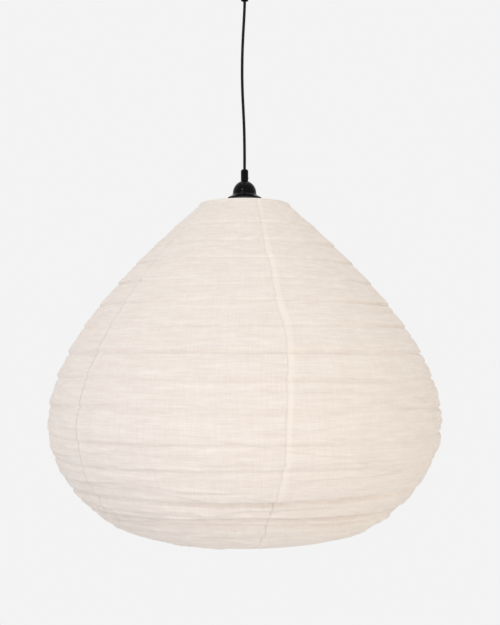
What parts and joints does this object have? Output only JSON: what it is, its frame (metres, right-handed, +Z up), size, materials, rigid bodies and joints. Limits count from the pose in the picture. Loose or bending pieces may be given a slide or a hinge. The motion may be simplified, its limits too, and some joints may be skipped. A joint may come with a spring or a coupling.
{
  "type": "accordion lantern pendant lamp",
  "caption": "Drop-shaped accordion lantern pendant: folding linen shade on steel hoops, inner wire frame, E27 lampholder, short flex and ceiling cup.",
  "frame": {"origin": "centre of the ceiling bracket's top face, between its two screw slots, on the lamp's axis", "axes": "+Z up, out of the ceiling face; the bracket and the two legs of the inner frame lie along X; -Y is the side seen first"},
  "size_m": [0.6498, 0.6498, 0.9666],
  "materials": {
    "linen": "slubby plain weave",
    "hoop_steel": "white coated wire",
    "frame_steel": "white coated wire",
    "hub_steel": "black coated sheet",
    "zinc_steel": "zinc plated",
    "brass": "bright",
    "black_plastic": "moulded gloss",
    "flex_sheath": "satin",
    "white_plastic": "satin",
    "ivory_plastic": "satin"
  },
  "bodies": {
    "ceiling_fitting": {"ceiling_bracket": "zinc_steel", "ceiling_cup": "black_plastic", "cup_screws": "black_plastic", "terminal_block": "white_plastic", "block_screw": "zinc_steel", "terminal_screws": "brass", "cup_grip": "black_plastic", "cup_grip_nut": "black_plastic", "cup_grip_screw": "zinc_steel", "cup_flex_tail": "flex_sheath"},
    "flex": {"flex_cord": "flex_sheath"},
    "lampholder": {"holder_grip": "black_plastic", "holder_grip_screw": "zinc_steel", "holder_flex_tail": "flex_sheath", "holder_cap": "black_plastic", "holder_sleeve": "black_plastic", "socket_insert": "ivory_plastic", "screw_shell": "brass", "centre_contact": "brass", "contact_screws": "zinc_steel"},
    "clamp_ring": {"ring_nut": "black_plastic"},
    "shade": {"frame_hub": "hub_steel", "frame_arms": "frame_steel", "hoop_01": "hoop_steel", "top_hem": "linen", "gore_1": "linen", "gore_2": "linen", "gore_3": "linen", "gore_4": "linen", "gore_5": "linen", "gore_6": "linen"},
    "right_leg": {"leg_right": "frame_steel"},
    "left_leg": {"leg_left": "frame_steel"},
    "hoop_02_ring": {"hoop_02": "hoop_steel"},
    "hoop_03_ring": {"hoop_03": "hoop_steel"},
    "hoop_04_ring": {"hoop_04": "hoop_steel"},
    "hoop_05_ring": {"hoop_05": "hoop_steel"},
    "hoop_06_ring": {"hoop_06": "hoop_steel"},
    "hoop_07_ring": {"hoop_07": "hoop_steel"},
    "hoop_08_ring": {"hoop_08": "hoop_steel"},
    "hoop_09_ring": {"hoop_09": "hoop_steel"},
    "hoop_10_ring": {"hoop_10": "hoop_steel"},
    "hoop_11_ring": {"hoop_11": "hoop_steel"},
    "hoop_12_ring": {"hoop_12": "hoop_steel"},
    "hoop_13_ring": {"hoop_13": "hoop_steel"},
    "hoop_14_ring": {"hoop_14": "hoop_steel"},
    "hoop_15_ring": {"hoop_15": "hoop_steel"},
    "hoop_16_ring": {"hoop_16": "hoop_steel"},
    "bottom_hoop": {"hoop_17": "hoop_steel", "bottom_hem": "linen"}
  },
  "joints": [
    {"name": "flex_swing", "type": "hinge", "parent": "ceiling_fitting", "child": "flex", "pos_m": [0, 0, -0.056], "axis": [0, 1, 0], "range_deg": [-15, 15]},
    {"name": "lamp_tilt", "type": "hinge", "parent": "flex", "child": "lampholder", "pos_m": [0, 0, -0.361], "axis": [1, 0, 0], "range_deg": [-10, 10]},
    {"name": "ring_turn", "type": "hinge", "parent": "lampholder", "child": "clamp_ring", "pos_m": [0, 0, -0.4096], "axis": [0, 0, 1], "range_deg": [0, 360]},
    {"name": "shade_turn", "type": "hinge", "parent": "lampholder", "child": "shade", "pos_m": [0, 0, -0.4045], "axis": [0, 0, 1], "continuous": true},
    {"name": "leg_right_squeeze", "type": "hinge", "parent": "shade", "child": "right_leg", "pos_m": [0.037, 0, -0.41681], "axis": [0, 1, 0], "range_deg": [0, 10], "stiffness_Nm_per_rad": 0.5, "springref_deg": -5.73},
    {"name": "leg_left_squeeze", "type": "hinge", "parent": "shade", "child": "left_leg", "pos_m": [-0.037, 0, -0.41681], "axis": [0, -1, 0], "range_deg": [0, 10], "stiffness_Nm_per_rad": 0.5, "springref_deg": -5.73},
    {"name": "shade_fold", "type": "slide", "parent": "shade", "child": "bottom_hoop", "axis": [0, 0, 1], "range_m": [0, 0.4914], "deforming": ["gore_1", "gore_2", "gore_3", "gore_4", "gore_5", "gore_6"]},
    {"name": "hoop_02_rise", "type": "slide", "parent": "shade", "child": "hoop_02_ring", "axis": [0, 0, 1], "range_m": [0, 0.03525]},
    {"name": "hoop_03_rise", "type": "slide", "parent": "shade", "child": "hoop_03_ring", "axis": [0, 0, 1], "range_m": [0, 0.06282]},
    {"name": "hoop_04_rise", "type": "slide", "parent": "shade", "child": "hoop_04_ring", "axis": [0, 0, 1], "range_m": [0, 0.09115]},
    {"name": "hoop_05_rise", "type": "slide", "parent": "shade", "child": "hoop_05_ring", "axis": [0, 0, 1], "range_m": [0, 0.12048]},
    {"name": "hoop_06_rise", "type": "slide", "parent": "shade", "child": "hoop_06_ring", "axis": [0, 0, 1], "range_m": [0, 0.15103]},
    {"name": "hoop_07_rise", "type": "slide", "parent": "shade", "child": "hoop_07_ring", "axis": [0, 0, 1], "range_m": [0, 0.18305]},
    {"name": "hoop_08_rise", "type": "slide", "parent": "shade", "child": "hoop_08_ring", "axis": [0, 0, 1], "range_m": [0, 0.21685]},
    {"name": "hoop_09_rise", "type": "slide", "parent": "shade", "child": "hoop_09_ring", "axis": [0, 0, 1], "range_m": [0, 0.25268]},
    {"name": "hoop_10_rise", "type": "slide", "parent": "shade", "child": "hoop_10_ring", "axis": [0, 0, 1], "range_m": [0, 0.29053]},
    {"name": "hoop_11_rise", "type": "slide", "parent": "shade", "child": "hoop_11_ring", "axis": [0, 0, 1], "range_m": [0, 0.32967]},
    {"name": "hoop_12_rise", "type": "slide", "parent": "shade", "child": "hoop_12_ring", "axis": [0, 0, 1], "range_m": [0, 0.36805]},
    {"name": "hoop_13_rise", "type": "slide", "parent": "shade", "child": "hoop_13_ring", "axis": [0, 0, 1], "range_m": [0, 0.40369]},
    {"name": "hoop_14_rise", "type": "slide", "parent": "shade", "child": "hoop_14_ring", "axis": [0, 0, 1], "range_m": [0, 0.43519]},
    {"name": "hoop_15_rise", "type": "slide", "parent": "shade", "child": "hoop_15_ring", "axis": [0, 0, 1], "range_m": [0, 0.46148]},
    {"name": "hoop_16_rise", "type": "slide", "parent": "shade", "child": "hoop_16_ring", "axis": [0, 0, 1], "range_m": [0, 0.48088]}
  ],
  "couplings": [
    {"joint": "hoop_02_rise", "follows": "shade_fold", "ratio": 0.07173},
    {"joint": "hoop_03_rise", "follows": "shade_fold", "ratio": 0.12783},
    {"joint": "hoop_04_rise", "follows": "shade_fold", "ratio": 0.18548},
    {"joint": "hoop_05_rise", "follows": "shade_fold", "ratio": 0.24518},
    {"joint": "hoop_06_rise", "follows": "shade_fold", "ratio": 0.30734},
    {"joint": "hoop_07_rise", "follows": "shade_fold", "ratio": 0.37251},
    {"joint": "hoop_08_rise", "follows": "shade_fold", "ratio": 0.44129},
    {"joint": "hoop_09_rise", "follows": "shade_fold", "ratio": 0.5142},
    {"joint": "hoop_10_rise", "follows": "shade_fold", "ratio": 0.59122},
    {"joint": "hoop_11_rise", "follows": "shade_fold", "ratio": 0.67088},
    {"joint": "hoop_12_rise", "follows": "shade_fold", "ratio": 0.74898},
    {"joint": "hoop_13_rise", "follows": "shade_fold", "ratio": 0.8215},
    {"joint": "hoop_14_rise", "follows": "shade_fold", "ratio": 0.88562},
    {"joint": "hoop_15_rise", "follows": "shade_fold", "ratio": 0.93912},
    {"joint": "hoop_16_rise", "follows": "shade_fold", "ratio": 0.97859}
  ]
}
